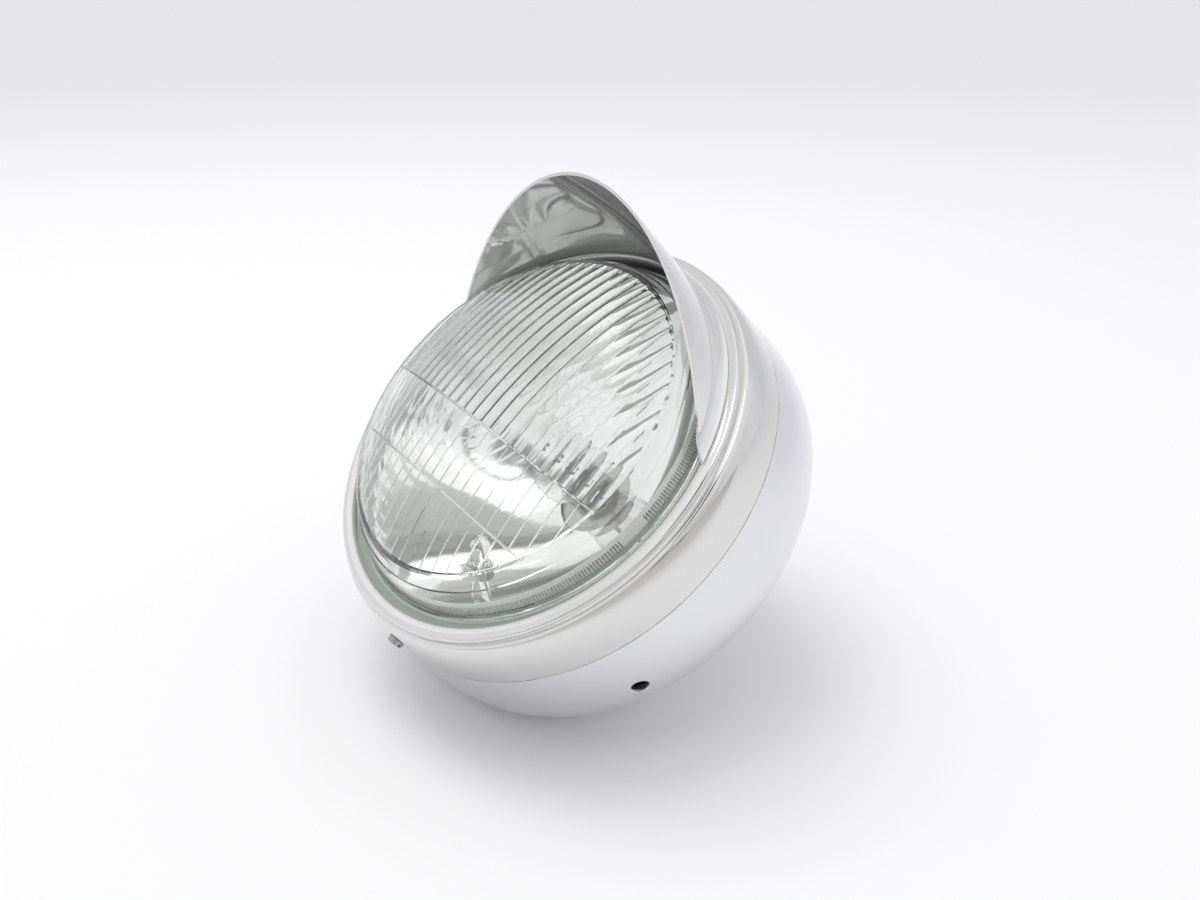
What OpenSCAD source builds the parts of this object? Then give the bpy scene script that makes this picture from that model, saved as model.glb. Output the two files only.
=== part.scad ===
// Motorcycle headlight, 7 inch class: a chromed bowl, a chromed rim with a peak over the lens,
// a fluted glass lens on a bright reflector, and the main and pilot lamps behind it.
// In millimetres. The lamp shines along -Y, +Z is up. The origin lies on the optical axis,
// in the plane of the two bracket holes in the bowl.

/* [Bowl] */
// How far the bowl's wall flares over its depth before the back turns in
bowl_flare = 9.9; // [4:0.1:14]
// Room for the wiring between the back of the bulb holder and the outside of the bowl's back
back_room = 12.77; // [12:0.01:28]
// Squareness of the bowl's section, 2 is an ellipse
bowl_power = 4.1; // [3:0.1:6]
// Sheet thickness of the bowl
bowl_wall = 1.0; // [0.8:0.1:1.4]
// Length of the bowl's reduced lip, which the rim slides over
lip_len = 9; // [7:0.5:10]
// Radial clearance between the front of that lip and the inside of the rim
lip_gap = 0.6; // [0.5:0.1:1]
// Gap between the rim's rear edge and the bowl's shoulder
seam_gap = 0.3; // [0.2:0.1:0.6]

/* [Bracket holes and cable hole] */
// Radius of the two bracket holes
bracket_hole_r = 3.5; // [2.5:0.1:4.5]
// Depth of the broken edge round the outside of each bracket hole
hole_break = 0.25; // [0.15:0.05:0.4]
// Clock angle of the bracket holes below the horizontal, in degrees
bracket_clock = 28; // [10:1:40]
// Distance from the seam back to the bracket holes
bracket_back = 24.5; // [18:0.5:34]
// Radius of the stiffening discs behind the bracket holes
doubler_r = 11; // [8:0.5:14]
// Thickness of the stiffening discs
doubler_t = 1.5; // [1:0.1:2.5]
// Radius of the cable hole in the bowl's back
cable_hole_r = 9; // [7:0.5:11]
// Bore radius of the rubber grommet in the cable hole
grommet_bore_r = 6; // [3:0.5:6]
// Length of the grommet
grommet_len = 7; // [5:0.5:9]
// Radius of the grommet's two flanges
grommet_flange_r = 12; // [11.5:0.5:14]

/* [Rim] */
// Distance from the glass edge plane back to the seam
rim_depth = 23.5; // [22:0.5:28]
// Sheet thickness of the rim
rim_wall = 1.0; // [0.8:0.1:1.2]
// How far the bead laps over the edge of the glass
rim_lap = 2.5; // [2.3:0.1:3.8]
// Width of the flattened bead round the opening
bead_w = 5.5; // [5:0.1:6]
// How far the bead stands in front of the glass edge plane
bead_h = 1.6; // [1.2:0.1:2.4]
// Radius of the bead's two corners
bead_c = 1.4; // [1.2:0.1:1.6]
// Width of the valley between bead and band
valley_w = 0.4; // [0.2:0.1:1]
// Depth at which that valley lies behind the glass edge plane
valley_y = 1.9; // [1.7:0.1:2.6]
// How much wider the band grows from the valley back to the seam
band_rise = 5.3; // [3:0.1:11]

/* [Visor] */
// Sheet thickness of the visor
visor_t = 1.0; // [0.8:0.1:1.4]
// How far the visor above its foot stands inside the bead's opening
visor_in = 0.5; // [0.3:0.1:1.3]
// How far forward of the glass edge plane the visor's tip reaches
visor_reach = 57.3; // [40:0.5:70]
// How far the visor droops in towards the axis at its tip
visor_droop = 3.7; // [1:0.1:8]
// Height above the axis at which the visor's cut edge meets the bead
visor_end_z = 23; // [15:0.5:35]
// How far the visor's foot flares outward on to the bead
visor_flare = 2.4; // [2:0.1:2.8]
// Height over which the foot flares
visor_flare_h = 4.5; // [3:0.5:8]

/* [Lens] */
// Thickness of the glass
glass_t = 3.5; // [3:0.1:4]
// How far the side wall leans in from its foot to the face
wall_lean = 9; // [7.2:0.1:14]
// How far that corner stands forward of the glass edge plane
face_y = 15; // [12:0.1:18]
// How much further the middle of the face stands forward
face_rise = 15.5; // [10:0.1:18]
// How far the foot of the side wall stands outside the mirror's mouth
wall_set = 3.2; // [2:0.1:3.6]
// Height of the small step round the side wall
wall_step = 0.6; // [0.3:0.1:1]
// How far forward that step lies
wall_step_y = 9.6; // [8:0.1:11]
// Distance from the glass edge plane back to the glass flange's front
flange_set = 1.2; // [1.1:0.1:1.6]
// Width of one flute of the face
flute_pitch = 5.9; // [5:0.1:8]
// Height of the rounded flutes above the upper line
flute_d = 0.55; // [0.3:0.05:0.8]
// Radius of the thin ridges between the flat flutes below that line
ridge_r = 0.35; // [0.25:0.05:0.4]
// Radius of the two raised lines across the face
line_r = 0.45; // [0.4:0.05:0.6]
// Depth of the groove in the back of the glass that the teeth lie in
groove_d = 1.6; // [0.8:0.1:2]
// Height of the horizon line between fine and wide flutes
horizon_z = -12; // [-20:0.5:0]
// Height of the second line across the wide flutes
second_z = -40; // [-50:0.5:-30]

/* [Reflector] */
// Radius of the mirror's mouth, the size from which rim, glass and bowl take theirs
mouth_r = 79; // [70:0.1:90]
// Depth of the mirror's curve from its mouth to its middle
mirror_depth = 55.72; // [52:0.01:60]
// Width of the flat land outside the mouth, on which seal and glass lie
land_w = 9.8; // [9.4:0.1:10.4]
// Sheet thickness of the reflector
refl_t = 0.8; // [0.6:0.1:1]
// Thickness of the rubber seal between glass and reflector
seal_t = 1.0; // [0.8:0.1:1.5]
// Depth of the reflector's turned-back edge
edge_turn = 3; // [2:0.5:4]
// Radius of the hole for the main bulb
bulb_hole_r = 18; // [17:0.5:19]

/* [Clips and rim fixing] */
// Number of spring clips that hold the light unit in the rim
clip_count = 6; // [5:1:8]
// Width of a clip as an angle, in degrees
clip_w = 5; // [4:0.5:7]
// Thickness of a clip's strip
clip_t = 0.8; // [0.6:0.1:1]
// Width of the top hook as an angle, in degrees
hook_w = 9; // [6:0.5:12]
// Thickness of the top hook
hook_t = 1.2; // [1:0.1:1.5]
// Radius of the rim screw's shank
screw_r = 2.5; // [2:0.1:3]
// Radius of the rim screw's head
screw_head_r = 3.7; // [3.6:0.1:4.5]
// Height of the rim screw's head
screw_head_h = 2.2; // [1.5:0.1:3]
// Length of the rim screw below its head
screw_len = 11; // [10:0.5:14]
// Distance of the rim screw forward of the seam
screw_fwd = 4.8; // [4.6:0.1:6]
// Clock angle of the rim screw, -90 is straight down
screw_clock = -87; // [-100:0.5:-80]
// Clearance round the rim screw in the rim
screw_clear = 0.25; // [0.15:0.05:0.5]
// Clearance between the screw's thread and the clamp plate
thread_clear = 0.05; // [0.02:0.01:0.1]
// Thickness of the clamp plate
plate_t = 2.2; // [1.6:0.1:3]
// Width of the clamp plate as an angle, in degrees
plate_w = 11; // [9:0.5:14]

/* [Main lamp] */
// Radius of the main bulb's globe
globe_r = 15; // [12:0.5:16]
// Radius of the main bulb's brass cap
cap_r = 10.5; // [9:0.5:12]
// Length of the brass cap
cap_len = 14; // [12:0.5:15]
// Thickness of the bulb's locating flange
bulb_flange_t = 1.0; // [0.8:0.1:1.5]
// Outer radius of the collar on the reflector's back
collar_r = 23; // [22:0.5:25]
// Length of that collar
collar_len = 9; // [8:0.5:11]
// Thickness of collar and holder sheet
collar_t = 0.9; // [0.7:0.1:1.1]
// Running clearance between the collar and the bulb holder
holder_gap = 0.35; // [0.3:0.05:0.5]
// Length of the bulb holder
holder_len = 15; // [14:0.5:16]
// Angle that the bulb holder turns to come free, in degrees
holder_turn = 20; // [15:1:25]
// Radius of the collar's three bayonet pins
pin_r = 1.2; // [1:0.1:1.5]
// Thickness of the holder's insulating disc
disc_t = 2.4; // [2:0.1:3]
// Width of the flat terminals on that disc
blade_w = 6.3; // [4.8:0.1:6.3]
// Thickness of those terminals
blade_t = 0.8; // [0.5:0.1:1]
// Distance of the terminals from the optical axis
blade_r = 11; // [10.5:0.5:13]
// How far the terminals stand out of the disc's back
blade_out = 6; // [5:0.5:8]
// Distance of the two plungers from the optical axis
contact_x = 5; // [4:0.1:6]
// Radius of the plungers
plunger_r = 2; // [1.5:0.1:2.2]
// How far the bulb's glass stem reaches forward of its locating flange
stem_len = 9.5; // [8:0.5:11]
// Radius of that stem
stem_r = 3; // [2.5:0.1:3.5]

/* [Pilot lamp] */
// Distance of the pilot lamp in from the mirror's mouth
pilot_in = 23; // [19:0.5:29]
// Radius of the pilot bulb's glass
pilot_glass_r = 4.4; // [3.5:0.1:4.6]
// Radius of the pilot bulb's cap
pilot_cap_r = 4.6; // [4:0.1:4.7]
// Radius of the pilot holder's sleeve
pilot_holder_r = 6; // [5.8:0.1:6.5]
// Length of the pilot holder behind its shoulder
pilot_holder_len = 15; // [12:0.5:18]

/* [Hidden] */
fn_big = 144;
fn_small = 48;
tau_deg = 360;
// gap that seats one pressed piece on another
seat_gap = 0.05;

// planes along the lamp's axis, counted from the bracket holes
seam_y = -bracket_back;
glass_y = seam_y - rim_depth;
lip_y = seam_y - lip_len;

// radii from the mirror's mouth outward
glass_r = mouth_r + land_w;
wall_foot_r = mouth_r + wall_set;
face_r = wall_foot_r - wall_lean;
glass_open_r = glass_r - rim_lap;
visor_r = glass_open_r - visor_in;
valley_r = glass_open_r + bead_w + valley_w;
seam_r = valley_r + band_rise;
focal = mouth_r * mouth_r / (4 * mirror_depth);
pilot_r = mouth_r - pilot_in;

// the bead: a low crown between two rounded corners, centred on bead_mid_r
bead_crown = 6;
bead_mid_r = glass_open_r + bead_w / 2;
bead_tilt = asin((bead_w / 2 - bead_c) / (bead_crown - bead_c));
crown_y = glass_y - bead_h + bead_crown;
corner_y = crown_y - (bead_crown - bead_c) * cos(bead_tilt);

// glass, seal and reflector stack behind the bead
flange_y = glass_y + flange_set;
glass_back_y = flange_y + glass_t;
seal_back_y = glass_back_y + seal_t;
mouth_y = seal_back_y;
vertex_y = mouth_y + mirror_depth;
edge_r = glass_r - 0.3;

// sphere of the lens face
line_gap = 0.15;
face_R = (face_r * face_r + face_rise * face_rise) / (2 * face_rise);
apex_y = glass_y - face_y - face_rise;
face_c_y = apex_y + face_R;
inner_R = face_R - glass_t;
// slope of the lens's side wall, as a unit normal
wall_dr = wall_foot_r - face_r;
wall_dy = face_y + flange_set / 2;
wall_l = norm([wall_dr, wall_dy]);
wall_n = [wall_dy / wall_l, -wall_dr / wall_l];

// main lamp planes
collar_y = vertex_y - bulb_hole_r * bulb_hole_r / (4 * focal);
seat_y = collar_y + 1.7;
bulb_end_y = seat_y - 3 + cap_len;
flange_r = collar_r - collar_t - 0.6;
holder_in_r = collar_r + holder_gap;
holder_r = holder_in_r + collar_t;
holder_y = collar_y + 3.2;
holder_back_y = holder_y + holder_len;
back_y = holder_back_y + back_room;
bowl_depth = back_y - seam_y;
disc_y = holder_back_y - collar_t - disc_t;
pin_y = collar_y + collar_len - 2.4;
focus_y = vertex_y - focal;

// pilot lamp seat on the mirror, where its slope sets the lamp's tilt
pilot_y = vertex_y - pilot_r * pilot_r / (4 * focal);
pilot_tilt = atan(pilot_r / (2 * focal));

// shared shapes

// turns a profile of [radius, y] round the lamp's axis
module lathe(fn = fn_big) rotate([-90, 0, 0]) rotate_extrude($fn = fn) children();

// the same over an angle, centred on a clock angle counted from +X towards +Z
module lathe_part(clock, width)
    rotate([0, -clock - width / 2, 0]) rotate([-90, 0, 0])
        rotate_extrude(angle = width, $fn = fn_big) children();

// local +Z points out from the axis at a clock angle
module radial(clock, y) translate([0, y, 0]) rotate([0, 90 - clock, 0]) children();

// points of an arc
function arc(c, r, a0, a1, n) =
    [for (i = [0:n]) let (a = a0 + (a1 - a0) * i / n) c + r * [cos(a), sin(a)]];

// unit normal on the left of a curve's direction, from its neighbours
function side_n(p, q) = let (t = (q - p) / norm(q - p)) [t[1], -t[0]];

// sheet strip of thickness t on the right-hand side of a path
function path_n(p, i) = side_n(p[max(0, i - 1)], p[min(len(p) - 1, i + 1)]);
module ribbon(p, t) polygon(concat(p, [for (i = [len(p) - 1:-1:0]) p[i] - t * path_n(p, i)]));

// outer surface of the band, from the valley behind the bead back to the seam
function band_pt(t) = [valley_r + (seam_r - valley_r) * t,
    glass_y + valley_y + (rim_depth - valley_y) * pow(t, 3)];
function band_in(t) = band_pt(t) - rim_wall * side_n(band_pt(max(0, t - 0.01)), band_pt(min(1, t + 0.01)));

// where the bowl's lip ends under the band
lip_t = pow((rim_depth - lip_len - valley_y) / (rim_depth - valley_y), 1 / 3);
lip_r = band_in(lip_t)[0] - lip_gap;
lip_in_r = lip_r - bowl_wall;

// bowl

function bowl_pt(v) = [(seam_r + bowl_flare * v) * sqrt(max(0, 1 - pow(v, bowl_power))),
    seam_y + seam_gap + (bowl_depth - seam_gap) * v];
function bowl_n(v) = side_n(bowl_pt(max(0, v - 0.002)), bowl_pt(min(1, v + 0.002)));
// the bowl's wall at a depth below its outer surface
function bowl_in(v, t) = bowl_pt(v) - t * bowl_n(v);
bowl_v = [for (i = [0:34]) 1 - pow(1 - i / 34, 1.9)];

module bowl_section() {
    outer = [for (v = bowl_v) bowl_pt(v)];
    inner = [for (i = [34:-1:1]) let (p = bowl_in(bowl_v[i], bowl_wall)) [max(0, p[0]), p[1]]];
    polygon(concat(
        [[lip_in_r, lip_y + 0.3], [lip_in_r + 0.3, lip_y], [lip_r - 0.3, lip_y],
         [lip_r, lip_y + 0.3], [lip_r, seam_y + seam_gap]],
        outer, inner,
        [[seam_r - 1.6 * bowl_wall, seam_y + seam_gap + 1.4 * bowl_wall],
         [seam_r - 2.2 * bowl_wall, seam_y + seam_gap + bowl_wall],
         [lip_in_r, seam_y + seam_gap + bowl_wall]]));
}

// where a bracket hole's wall ends and its broken edge begins, out from the axis
hole_edge_z = sqrt(pow(bowl_pt(-(seam_y + seam_gap) / (bowl_depth - seam_gap))[0], 2)
    - pow(bracket_hole_r, 2)) - hole_break;

module bucket() color([0.88, 0.88, 0.91]) difference() {
    lathe() bowl_section();
    for (c = [-bracket_clock, bracket_clock - 180]) radial(c, 0) {
        translate([0, 0, seam_r - 20]) cylinder(r = bracket_hole_r, h = 40, $fn = fn_small);
        translate([0, 0, hole_edge_z])
            cylinder(r1 = bracket_hole_r, r2 = bracket_hole_r + 2, h = 2, $fn = fn_small);
    }
    translate([0, back_y - 6, 0]) rotate([-90, 0, 0]) cylinder(r = cable_hole_r, h = 12, $fn = fn_small);
    // open notch in the lip, which the rim screw slides out of
    rotate([0, -screw_clock - 90, 0]) translate([-screw_r - 1, lip_y - 1, -lip_r - 1])
        cube([2 * screw_r + 2, lip_len - screw_fwd + screw_r + 2, bowl_wall + 3]);
}

module mount_doublers() color([0.6, 0.6, 0.62]) for (c = [-bracket_clock, bracket_clock - 180])
    difference() {
        intersection() {
            lathe() polygon(concat(
                [for (i = [1:22]) bowl_in(bowl_v[i], bowl_wall)],
                [for (i = [22:-1:1]) bowl_in(bowl_v[i], bowl_wall + doubler_t)]));
            radial(c, 0) translate([0, 0, seam_r - 20]) cylinder(r = doubler_r, h = 40, $fn = fn_small);
        }
        radial(c, 0) translate([0, 0, seam_r - 21]) cylinder(r = bracket_hole_r, h = 42, $fn = fn_small);
    }

module cable_grommet() color([0.12, 0.12, 0.12]) lathe(fn_small) {
    g0 = back_y - bowl_wall;
    polygon([
        [grommet_bore_r, back_y - grommet_len / 2 + 0.5], [grommet_bore_r + 0.5, back_y - grommet_len / 2],
        [grommet_flange_r - 1, back_y - grommet_len / 2], [grommet_flange_r, back_y - grommet_len / 2 + 1],
        [grommet_flange_r, g0 - 0.35], [cable_hole_r, g0 - 0.35], [cable_hole_r, back_y + 0.1],
        [grommet_flange_r, back_y + 0.1], [grommet_flange_r, back_y + 0.9],
        [grommet_flange_r - 1, back_y + grommet_len / 2 - 0.5],
        [grommet_bore_r + 0.5, back_y + grommet_len / 2],
        [grommet_bore_r, back_y + grommet_len / 2 - 0.5]]);
}

// rim

// round the bead from the glass to the valley, at a depth below its surface
function bead_arcs(t) = concat(
    arc([glass_open_r + bead_c, corner_y], bead_c - t, 180, 270 - bead_tilt, 8),
    arc([bead_mid_r, crown_y], bead_crown - t, 270 - bead_tilt, 270 + bead_tilt, 10),
    arc([glass_open_r + bead_w - bead_c, corner_y], bead_c - t, 270 + bead_tilt, t > 0 ? 360 : 375, 8));

module rim_section() polygon(concat(
    // outside: round the bead from the glass, over its crest and into the valley
    bead_arcs(0),
    [for (i = [0:14]) band_pt(i / 14)],
    // inside: back along the band and round the hollow of the bead
    [for (i = [14:-1:2]) band_in(i / 14)],
    [[glass_open_r + bead_w - rim_wall, glass_y + valley_y + 0.4]],
    [for (i = [len(bead_arcs(rim_wall)) - 1:-1:0]) bead_arcs(rim_wall)[i]],
    [[glass_open_r + rim_wall, flange_y - 0.15], [glass_open_r, flange_y - 0.15]]));

// radius of the band at the rim screw, where a flat seats its head
screw_t = pow((rim_depth - screw_fwd - valley_y) / (rim_depth - valley_y), 1 / 3);
screw_seat = band_pt(screw_t)[0];

module rim() color([0.9, 0.9, 0.92]) difference() {
    lathe() rim_section();
    radial(screw_clock, seam_y - screw_fwd) translate([0, 0, screw_seat])
        cylinder(r = screw_head_r + 0.4, h = 4, $fn = fn_small);
    radial(screw_clock, seam_y - screw_fwd) translate([0, 0, seam_r - 8])
        cylinder(r = screw_r + screw_clear, h = 16, $fn = fn_small);
}

// hook at the top of the rim: a foot on the band's inside, a leg and a tongue under the bowl's lip
hook_drop = 5.6;
module rim_hook() color([0.62, 0.62, 0.64]) lathe_part(90, hook_w) {
    bend_y = lip_y - 1.2;
    top_r = band_in(0.78)[0] - seat_gap;
    tongue_r = top_r - hook_drop;
    polygon(concat(
        [for (t = [0.6:0.06:0.79]) band_in(t) - [seat_gap, 0]],
        [[top_r, bend_y - 0.4], [top_r - 0.4, bend_y], [tongue_r + 0.3, bend_y], [tongue_r, bend_y + 0.3],
         [tongue_r, lip_y + 5.5], [tongue_r - hook_t, lip_y + 5.5],
         [tongue_r - hook_t, bend_y - hook_t + 1], [tongue_r - hook_t + 1, bend_y - hook_t],
         [top_r - hook_t - 1, bend_y - hook_t], [top_r - hook_t - 0.3, bend_y - hook_t - 0.8],
         band_in(0.6) - [seat_gap + hook_t, 0]]));
}

// visor

// foot of the visor, just clear of the bead's crest
visor_foot_y = glass_y - bead_h - 0.7 * visor_t;
visor_len = visor_reach + visor_foot_y - glass_y;
// outer surface of the sheet, u along it from the foot to the tip
function visor_pt(u) = [visor_r - visor_droop * pow(u, 2)
    + visor_flare * pow(max(0, 1 - u * visor_len / visor_flare_h), 2), visor_foot_y - visor_len * u];
// slope of the cut edge seen from the side
visor_top_z = visor_r - visor_droop;
visor_cut = atan(visor_reach / (visor_top_z - visor_end_z));

module visor() color([0.8, 0.8, 0.84]) intersection() {
    lathe() ribbon(concat([for (i = [12:-1:2]) visor_pt(i / 12)],
        [for (i = [8:-1:0]) visor_pt(i / 8 * visor_flare_h / visor_len)]), visor_t);
    // the sheet that remains behind a sloping cut
    translate([-seam_r, glass_y, visor_end_z]) rotate([visor_cut, 0, 0])
        translate([0, 0, -seam_r / 2]) cube([2 * seam_r, 2 * seam_r, 2 * seam_r]);
}

// lens

// arc of the face's sphere, in [radius, y]
function face_arc(R, r1, n) = [for (i = [0:n]) let (a = asin(r1 / R) * i / n)
    [R * sin(a), face_c_y - R * cos(a)]];
// inner corner between face and side wall
in_face_r = face_r - glass_t * wall_n[0] * 0.9;

module lens_solid() lathe() polygon(concat(
    face_arc(face_R, face_r - 0.8, 16),
    [[face_r, glass_y - face_y + 0.5],
     [wall_foot_r - wall_dr * wall_step_y / face_y, glass_y - wall_step_y],
     [wall_foot_r - wall_dr * wall_step_y / face_y + wall_step, glass_y - wall_step_y + 0.1],
     [wall_foot_r, glass_y - 0.4], [wall_foot_r + 0.5, flange_y - 0.3],
     [wall_foot_r + 1.3, flange_y], [glass_r - 0.4, flange_y], [glass_r, flange_y + 0.4],
     [glass_r, glass_back_y - 0.4], [glass_r - 0.4, glass_back_y], [0, glass_back_y]]));

module lens_cavity() lathe() polygon(concat(
    face_arc(inner_R, in_face_r, 16),
    [[wall_foot_r - glass_t * wall_n[0], glass_y - glass_t * wall_n[1]],
     [mouth_r + 0.5, glass_back_y - 0.3], [mouth_r + 0.8, glass_back_y + 1], [0, glass_back_y + 1]]));

// rings that follow the face about a line along X, with a section of radius rc whose centre
// is q out from that line; shift is the first ring's place in widths of a flute
face_span = 2 * asin(in_face_r / inner_R) + 4;

module face_rings(rc, q, shift, z0, z1) {
    n = floor(in_face_r / flute_pitch);
    intersection() {
        translate([0, face_c_y, 0]) rotate([-90, 0, 0]) rotate([0, 90, 0]) rotate([0, 0, -face_span / 2])
            rotate_extrude(angle = face_span, $fn = 4 * fn_big)
                for (i = [-n - 2 * shift:n]) let (a = asin((i + shift) * flute_pitch / inner_R))
                    translate([q * cos(a), q * sin(a)]) circle(r = rc, $fn = fn_small);
        translate([-seam_r, apex_y, z0]) cube([2 * seam_r, 3 * face_y, z1 - z0]);
    }
}

// rounded flutes, side by side
flute_rc = (pow(flute_pitch / 2, 2) + flute_d * flute_d) / (2 * flute_d);
module flutes(z0, z1) face_rings(flute_rc, inner_R - flute_d + flute_rc, 0.5, z0, z1);
// flat flutes with a thin ridge between each two
module ridges(z0, z1) face_rings(ridge_r, inner_R, 0, z0, z1);

// raised line across the face at a height
module face_line(z) translate([0, face_c_y, z]) rotate([0, 0, -90 - face_span / 2])
    rotate_extrude(angle = face_span, $fn = 4 * fn_big)
        translate([sqrt(inner_R * inner_R - z * z), 0]) circle(r = line_r, $fn = fn_small);

module lens() color([0.8, 0.86, 0.84, 0.45]) difference() {
    lens_solid();
    difference() {
        lens_cavity();
        flutes(horizon_z + line_r + line_gap, face_r);
        ridges(second_z + line_r + line_gap, horizon_z - line_r - line_gap);
        ridges(-face_r, second_z - line_r - line_gap);
        face_line(horizon_z);
        face_line(second_z);
    }
    lathe() translate([mouth_r + 1, glass_back_y - groove_d]) square([3.4, 2 * groove_d]);
}

module lens_seal() color([0.15, 0.15, 0.15]) lathe() translate([mouth_r + 1, glass_back_y])
    square([edge_r - mouth_r - 2, seal_t]);

// reflector

function mirror_pt(r) = [r, vertex_y - r * r / (4 * focal)];
function mirror_out(r) = let (a = atan(r / (2 * focal))) mirror_pt(r) + refl_t * [sin(a), cos(a)];
mirror_rs = [for (i = [0:18]) bulb_hole_r + (mouth_r - bulb_hole_r) * i / 18];
// where the mirror's back runs out on the back of the flat land
join_r = sqrt(4 * focal * (mirror_depth - refl_t * (1 - cos(atan(mouth_r / (2 * focal))))));

// places its children on the mirror's back at the pilot lamp, +Z straight out of the surface
module at_pilot() translate([0, pilot_y, -pilot_r]) rotate([-90 - pilot_tilt, 0, 0]) children();

module reflector() color([0.93, 0.93, 0.95]) difference() {
    lathe() polygon(concat(
        [for (r = mirror_rs) mirror_pt(r)],
        [[edge_r, mouth_y], [edge_r, mouth_y + edge_turn], [edge_r - refl_t, mouth_y + edge_turn],
         [edge_r - refl_t, mouth_y + refl_t], [mirror_out(join_r)[0], mouth_y + refl_t]],
        [for (i = [17:-1:0]) mirror_out(mirror_rs[i])]));
    at_pilot() translate([0, 0, -4]) cylinder(r = pilot_holder_r + 0.05, h = 10, $fn = fn_small);
}

// S-shaped spring strips: a foot on the band's inside and a nose on the reflector's turned edge
module unit_clips() color([0.55, 0.56, 0.58]) for (i = [0:clip_count - 1]) {
    nose_y = mouth_y + edge_turn + 0.05 + clip_t;
    lathe_part(90 + tau_deg * (i + 0.5) / clip_count, clip_w) ribbon(concat(
        [for (t = [0.67:0.03:0.77]) band_in(t) - [seat_gap, 0]],
        [band_in(0.77) + [-0.5, 0.9], band_in(0.77) + [-1.5, 1.2],
         [(edge_r + band_in(0.77)[0] + 0.3) / 2, nose_y + 2.4], [edge_r + 1.8, nose_y + 0.4],
         [edge_r + 0.8, nose_y], [edge_r - 1.6, nose_y],
         [edge_r - 2.6, nose_y + 0.5], [edge_r - 3.2, nose_y + 1.3]]), clip_t);
}

// main lamp

module bulb_collar() color([0.7, 0.7, 0.7]) {
    foot_r = bulb_hole_r + 0.6;
    lathe(fn_small * 2) polygon(concat(
        [for (i = [0:4]) mirror_out(foot_r + (collar_r - foot_r) * i / 4) + [0, seat_gap]],
        [[collar_r, collar_y + collar_len], [collar_r - collar_t, collar_y + collar_len],
         [collar_r - collar_t, seat_y], [foot_r, seat_y]]));
    // bayonet pins
    for (i = [0:2]) radial(90 + 120 * i, pin_y) translate([0, 0, collar_r - collar_t / 2])
        cylinder(r = pin_r, h = collar_t / 2 + holder_gap + collar_t, $fn = 24);
}

module bulb_flange() color([0.75, 0.72, 0.6]) lathe(fn_small * 2) polygon([
    [cap_r, seat_y], [flange_r, seat_y], [flange_r, seat_y + bulb_flange_t],
    [cap_r, seat_y + bulb_flange_t]]);

module bulb_cap() color([0.8, 0.66, 0.35]) lathe(fn_small) polygon([
    [0, bulb_end_y - 1.2], [0, bulb_end_y], [cap_r - 2.2, bulb_end_y], [cap_r - 1.2, bulb_end_y - 1],
    [cap_r, bulb_end_y - 2], [cap_r, bulb_end_y - cap_len], [cap_r - 0.6, bulb_end_y - cap_len],
    [cap_r - 0.6, bulb_end_y - 3], [cap_r - 2, bulb_end_y - 1.2]]);

neck_r = cap_r - 0.7;
neck_t = 0.8;
stem_y = seat_y - stem_len;

module bulb_glass() color([0.95, 0.95, 0.95, 0.3]) lathe(fn_small) {
    na = asin(neck_r / globe_r);
    polygon(concat(
        arc([0, focus_y], globe_r, -90, 90 - na, 20),
        [[neck_r, seat_y + 4], [neck_r - neck_t, seat_y + 4]],
        arc([0, focus_y], globe_r - neck_t, 90 - na, -90, 20)));
}

// flared glass stem, fused into the bulb's neck
module bulb_stem() color([0.9, 0.92, 0.9, 0.5]) lathe(fn_small) polygon([
    [0, stem_y], [stem_r - 0.8, stem_y], [stem_r, stem_y + 1], [stem_r, seat_y - 1],
    [stem_r + 2, seat_y + 1.6],
    [neck_r - neck_t - seat_gap, seat_y + 3.2], [neck_r - neck_t - seat_gap, seat_y + 4], [0, seat_y + 4]]);

// the two coils on their lead wires
module bulb_filaments() color([0.45, 0.45, 0.48]) {
    for (x = [-2, 2]) translate([x, stem_y, 0]) rotate([90, 0, 0])
        cylinder(r = 0.4, h = stem_y - focus_y, $fn = 16);
    for (z = [0, 2.5]) translate([-2.6, focus_y, z]) rotate([0, 90, 0])
        cylinder(r = 0.7, h = 5.2, $fn = 16);
    translate([0, focus_y, 0]) cylinder(r = 0.5, h = 2.5, $fn = 16);
}

// rim screw and its clamp plate

module rim_screw() color([0.5, 0.5, 0.52]) radial(screw_clock, seam_y - screw_fwd) {
    under = screw_seat + 0.05;
    difference() {
        union() {
            translate([0, 0, under - screw_len]) cylinder(r = screw_r, h = screw_len + 0.1, $fn = fn_small);
            translate([0, 0, under])
                cylinder(r1 = screw_head_r, r2 = screw_head_r - 0.6, h = screw_head_h, $fn = fn_small);
        }
        translate([-screw_head_r, -0.5, under + screw_head_h - 1.1]) cube([2 * screw_head_r, 1, 2]);
    }
}

module clamp_plate() color([0.58, 0.58, 0.6]) difference() {
    lathe_part(screw_clock, plate_w) translate([lip_in_r - 0.3 - plate_t, seam_y - screw_fwd - 4])
        square([plate_t, 8]);
    radial(screw_clock, seam_y - screw_fwd) translate([0, 0, lip_in_r - 10])
        cylinder(r = screw_r + thread_clear, h = 14, $fn = fn_small);
}

// bulb holder

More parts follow.
